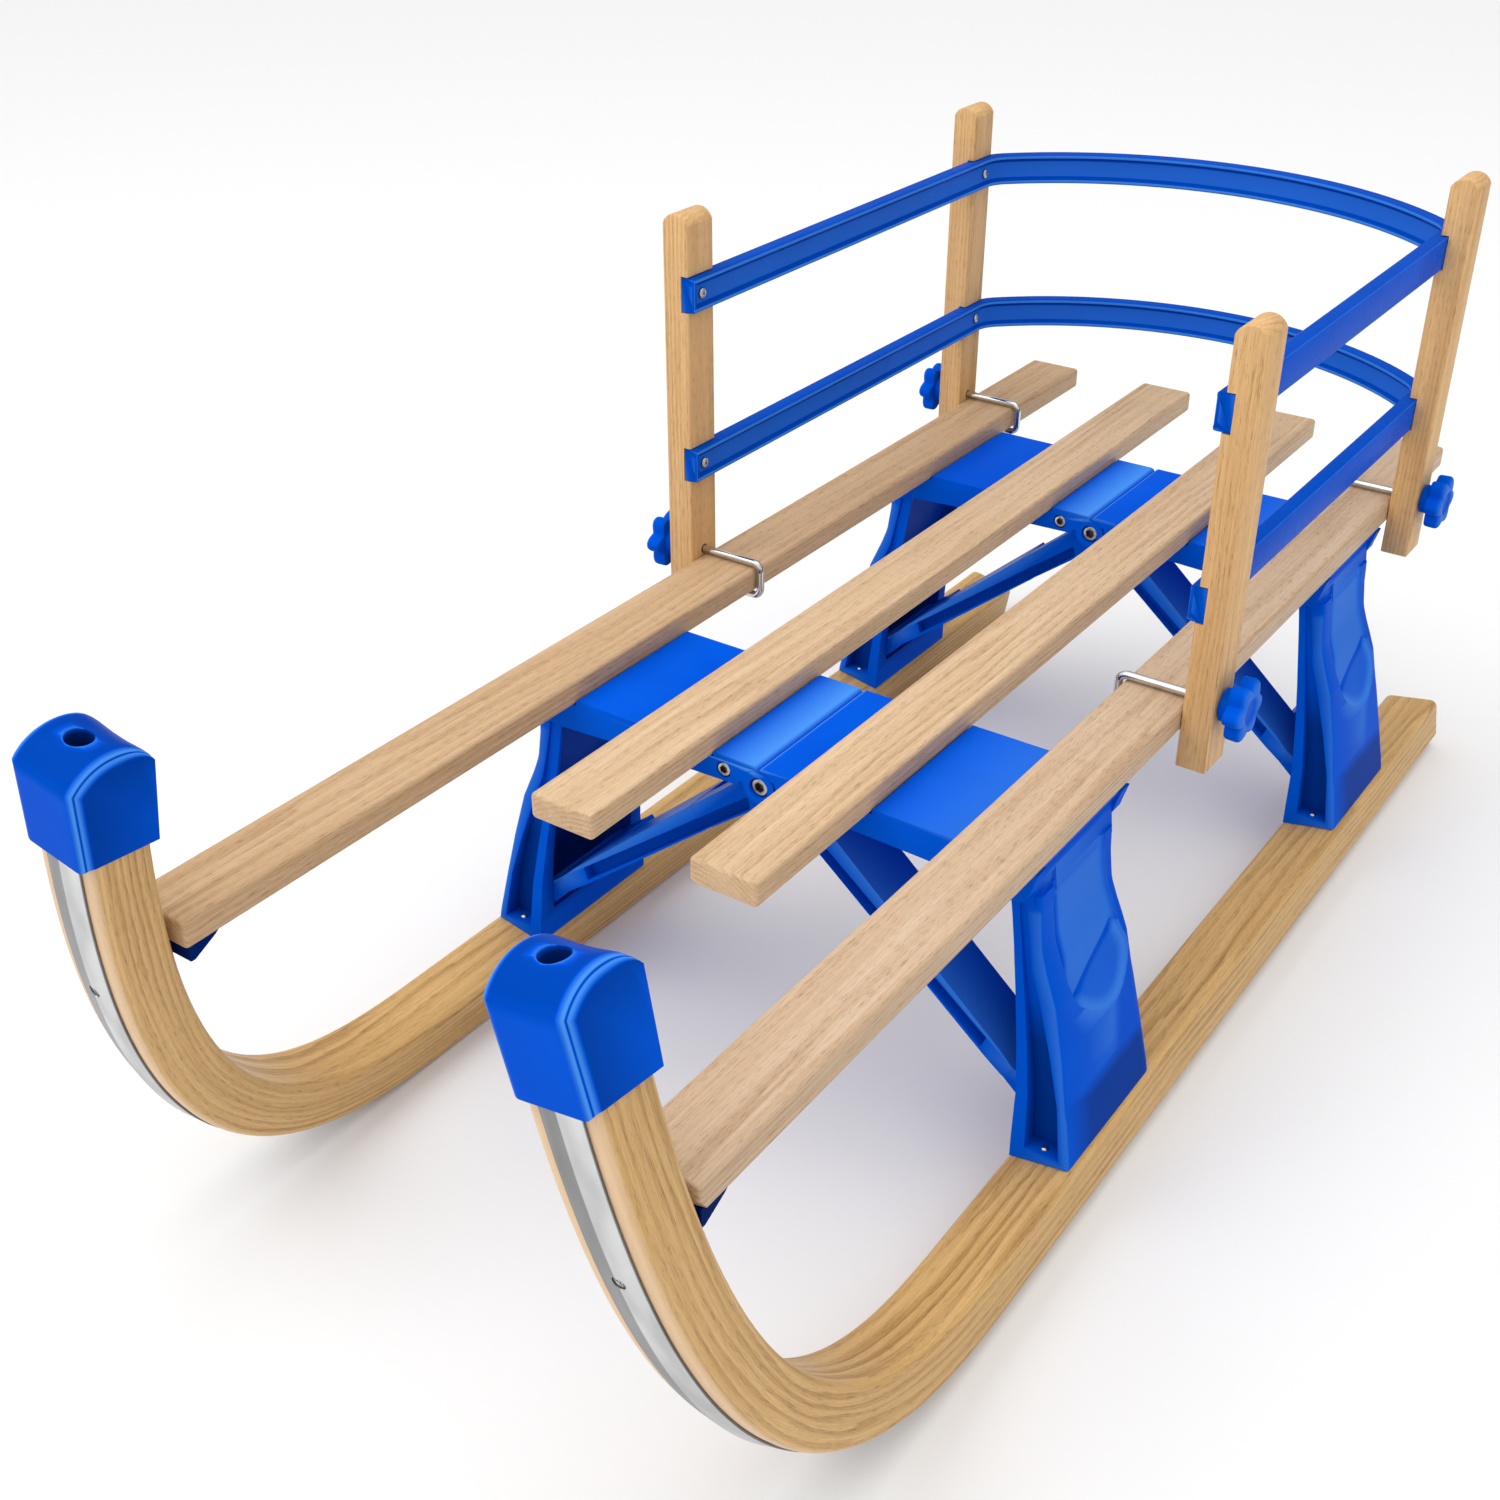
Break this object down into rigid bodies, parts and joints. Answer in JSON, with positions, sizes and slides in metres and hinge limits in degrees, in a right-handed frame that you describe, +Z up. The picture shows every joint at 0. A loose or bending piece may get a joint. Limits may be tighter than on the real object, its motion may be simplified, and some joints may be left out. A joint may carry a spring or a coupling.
{
  "type": "folding wooden sled",
  "caption": "Folding wooden sled: bent laminated runners with steel shoes and plastic nose caps, hinged plastic leg brackets, slatted seat and a clamp-on backrest.",
  "frame": {"origin": "on the ground under the steel shoes, in the middle of the sled's width and length", "axes": "+Z up, -Y towards the bent noses (the way it drives), +X to the side whose parts are named right; that is the left-hand side of somebody sitting on it, since the names follow the view from the front"},
  "size_m": [0.4316, 1.0058, 0.4676],
  "materials": {
    "beech": "satin varnish",
    "laminated_beech": "satin varnish, laminated and bent",
    "blue_plastic": "satin moulded",
    "dark_blue_plastic": "moulded",
    "blue_rail": "smooth extruded",
    "steel_shoe": "rolled, bare",
    "chromed_wire": "bright",
    "zinc_screw": "zinc plated"
  },
  "bodies": {
    "runner_left": {"runner_left": "laminated_beech", "steel_shoe_left": "steel_shoe", "shoe_screw_front_left": "zinc_screw", "shoe_screw_rear_left": "zinc_screw", "nose_cap_left": "blue_plastic", "leg_front_left": "blue_plastic", "leg_rear_left": "blue_plastic"},
    "seat_left": {"half_beam_front_left": "blue_plastic", "half_beam_rear_left": "blue_plastic", "slat_outer_left": "beech", "slat_inner_left": "beech", "slat_end_block_left": "dark_blue_plastic", "block_bolt_front_left": "zinc_screw", "block_bolt_rear_left": "zinc_screw", "leg_pin_front_left": "zinc_screw", "leg_pin_rear_left": "zinc_screw", "centre_hinge_pin_front": "zinc_screw", "centre_hinge_pin_rear": "zinc_screw"},
    "seat_right": {"half_beam_front_right": "blue_plastic", "half_beam_rear_right": "blue_plastic", "slat_outer_right": "beech", "slat_inner_right": "beech", "slat_end_block_right": "dark_blue_plastic", "block_bolt_front_right": "zinc_screw", "block_bolt_rear_right": "zinc_screw", "leg_pin_front_right": "zinc_screw", "leg_pin_rear_right": "zinc_screw"},
    "runner_right": {"runner_right": "laminated_beech", "steel_shoe_right": "steel_shoe", "shoe_screw_front_right": "zinc_screw", "shoe_screw_rear_right": "zinc_screw", "nose_cap_right": "blue_plastic", "leg_front_right": "blue_plastic", "leg_rear_right": "blue_plastic"},
    "braces_left": {"brace_front_left": "blue_plastic", "brace_rear_left": "blue_plastic"},
    "braces_right": {"brace_front_right": "blue_plastic", "brace_rear_right": "blue_plastic"},
    "backrest": {"post_front_left": "beech", "post_front_right": "beech", "post_rear_left": "beech", "post_rear_right": "beech", "rail_upper": "blue_rail", "rail_lower": "blue_rail", "rail_screw_upper_front_left": "zinc_screw", "rail_screw_upper_front_right": "zinc_screw", "rail_screw_upper_rear_left": "zinc_screw", "rail_screw_upper_rear_right": "zinc_screw", "rail_screw_lower_front_left": "zinc_screw", "rail_screw_lower_front_right": "zinc_screw", "rail_screw_lower_rear_left": "zinc_screw", "rail_screw_lower_rear_right": "zinc_screw"},
    "knob_front_left": {"knob_front_left": "blue_plastic"},
    "knob_front_right": {"knob_front_right": "blue_plastic"},
    "knob_rear_left": {"knob_rear_left": "blue_plastic"},
    "knob_rear_right": {"knob_rear_right": "blue_plastic"},
    "hook_front_left": {"hook_front_left": "chromed_wire"},
    "hook_front_right": {"hook_front_right": "chromed_wire"},
    "hook_rear_left": {"hook_rear_left": "chromed_wire"},
    "hook_rear_right": {"hook_rear_right": "chromed_wire"}
  },
  "joints": [
    {"name": "fold", "type": "hinge", "parent": "runner_left", "child": "seat_left", "pos_m": [-0.161, 0.1, 0.2126], "axis": [0, -1, 0], "range_deg": [0, 70]},
    {"name": "centre_hinge", "type": "hinge", "parent": "seat_left", "child": "seat_right", "pos_m": [0, 0.1, 0.2146], "axis": [0, -1, 0], "range_deg": [-140, 0]},
    {"name": "leg_hinge_right", "type": "hinge", "parent": "seat_right", "child": "runner_right", "pos_m": [0.161, 0.1, 0.2126], "axis": [0, -1, 0], "range_deg": [0, 70]},
    {"name": "brace_hinge_left", "type": "hinge", "parent": "seat_left", "child": "braces_left", "pos_m": [0, 0.1, 0.2146], "axis": [0, -1, 0], "range_deg": [-35, 0]},
    {"name": "brace_hinge_right", "type": "hinge", "parent": "seat_right", "child": "braces_right", "pos_m": [0, 0.1, 0.2146], "axis": [0, -1, 0], "range_deg": [0, 35]},
    {"name": "backrest_lift", "type": "slide", "parent": "runner_left", "child": "backrest", "axis": [0, 0, 1], "range_m": [0, 0.502]},
    {"name": "knob_turn_front_left", "type": "hinge", "parent": "backrest", "child": "knob_front_left", "pos_m": [-0.205, 0.029, 0.2444], "axis": [-1, 0, 0], "range_deg": [0, 1800]},
    {"name": "knob_turn_front_right", "type": "hinge", "parent": "backrest", "child": "knob_front_right", "pos_m": [0.205, 0.029, 0.2444], "axis": [1, 0, 0], "range_deg": [0, 1800]},
    {"name": "knob_turn_rear_left", "type": "hinge", "parent": "backrest", "child": "knob_rear_left", "pos_m": [-0.205, 0.3878, 0.2444], "axis": [-1, 0, 0], "range_deg": [0, 1800]},
    {"name": "knob_turn_rear_right", "type": "hinge", "parent": "backrest", "child": "knob_rear_right", "pos_m": [0.205, 0.3878, 0.2444], "axis": [1, 0, 0], "range_deg": [0, 1800]},
    {"name": "hook_slide_front_left", "type": "slide", "parent": "backrest", "child": "hook_front_left", "axis": [1, 0, 0], "range_m": [0, 0.005]},
    {"name": "hook_slide_front_right", "type": "slide", "parent": "backrest", "child": "hook_front_right", "axis": [-1, 0, 0], "range_m": [0, 0.005]},
    {"name": "hook_slide_rear_left", "type": "slide", "parent": "backrest", "child": "hook_rear_left", "axis": [1, 0, 0], "range_m": [0, 0.005]},
    {"name": "hook_slide_rear_right", "type": "slide", "parent": "backrest", "child": "hook_rear_right", "axis": [-1, 0, 0], "range_m": [0, 0.005]}
  ],
  "couplings": [
    {"joint": "centre_hinge", "follows": "fold", "ratio": -2},
    {"joint": "leg_hinge_right", "follows": "fold", "ratio": 1},
    {"joint": "brace_hinge_left", "follows": "fold", "ratio": -0.5},
    {"joint": "brace_hinge_right", "follows": "fold", "ratio": 0.5},
    {"joint": "backrest_lift", "follows": "fold", "m_per_rad": 0.41},
    {"joint": "knob_turn_front_left", "follows": "hook_slide_front_left", "rad_per_m": 6283.2},
    {"joint": "knob_turn_front_right", "follows": "hook_slide_front_right", "rad_per_m": 6283.2},
    {"joint": "knob_turn_rear_left", "follows": "hook_slide_rear_left", "rad_per_m": 6283.2},
    {"joint": "knob_turn_rear_right", "follows": "hook_slide_rear_right", "rad_per_m": 6283.2}
  ]
}
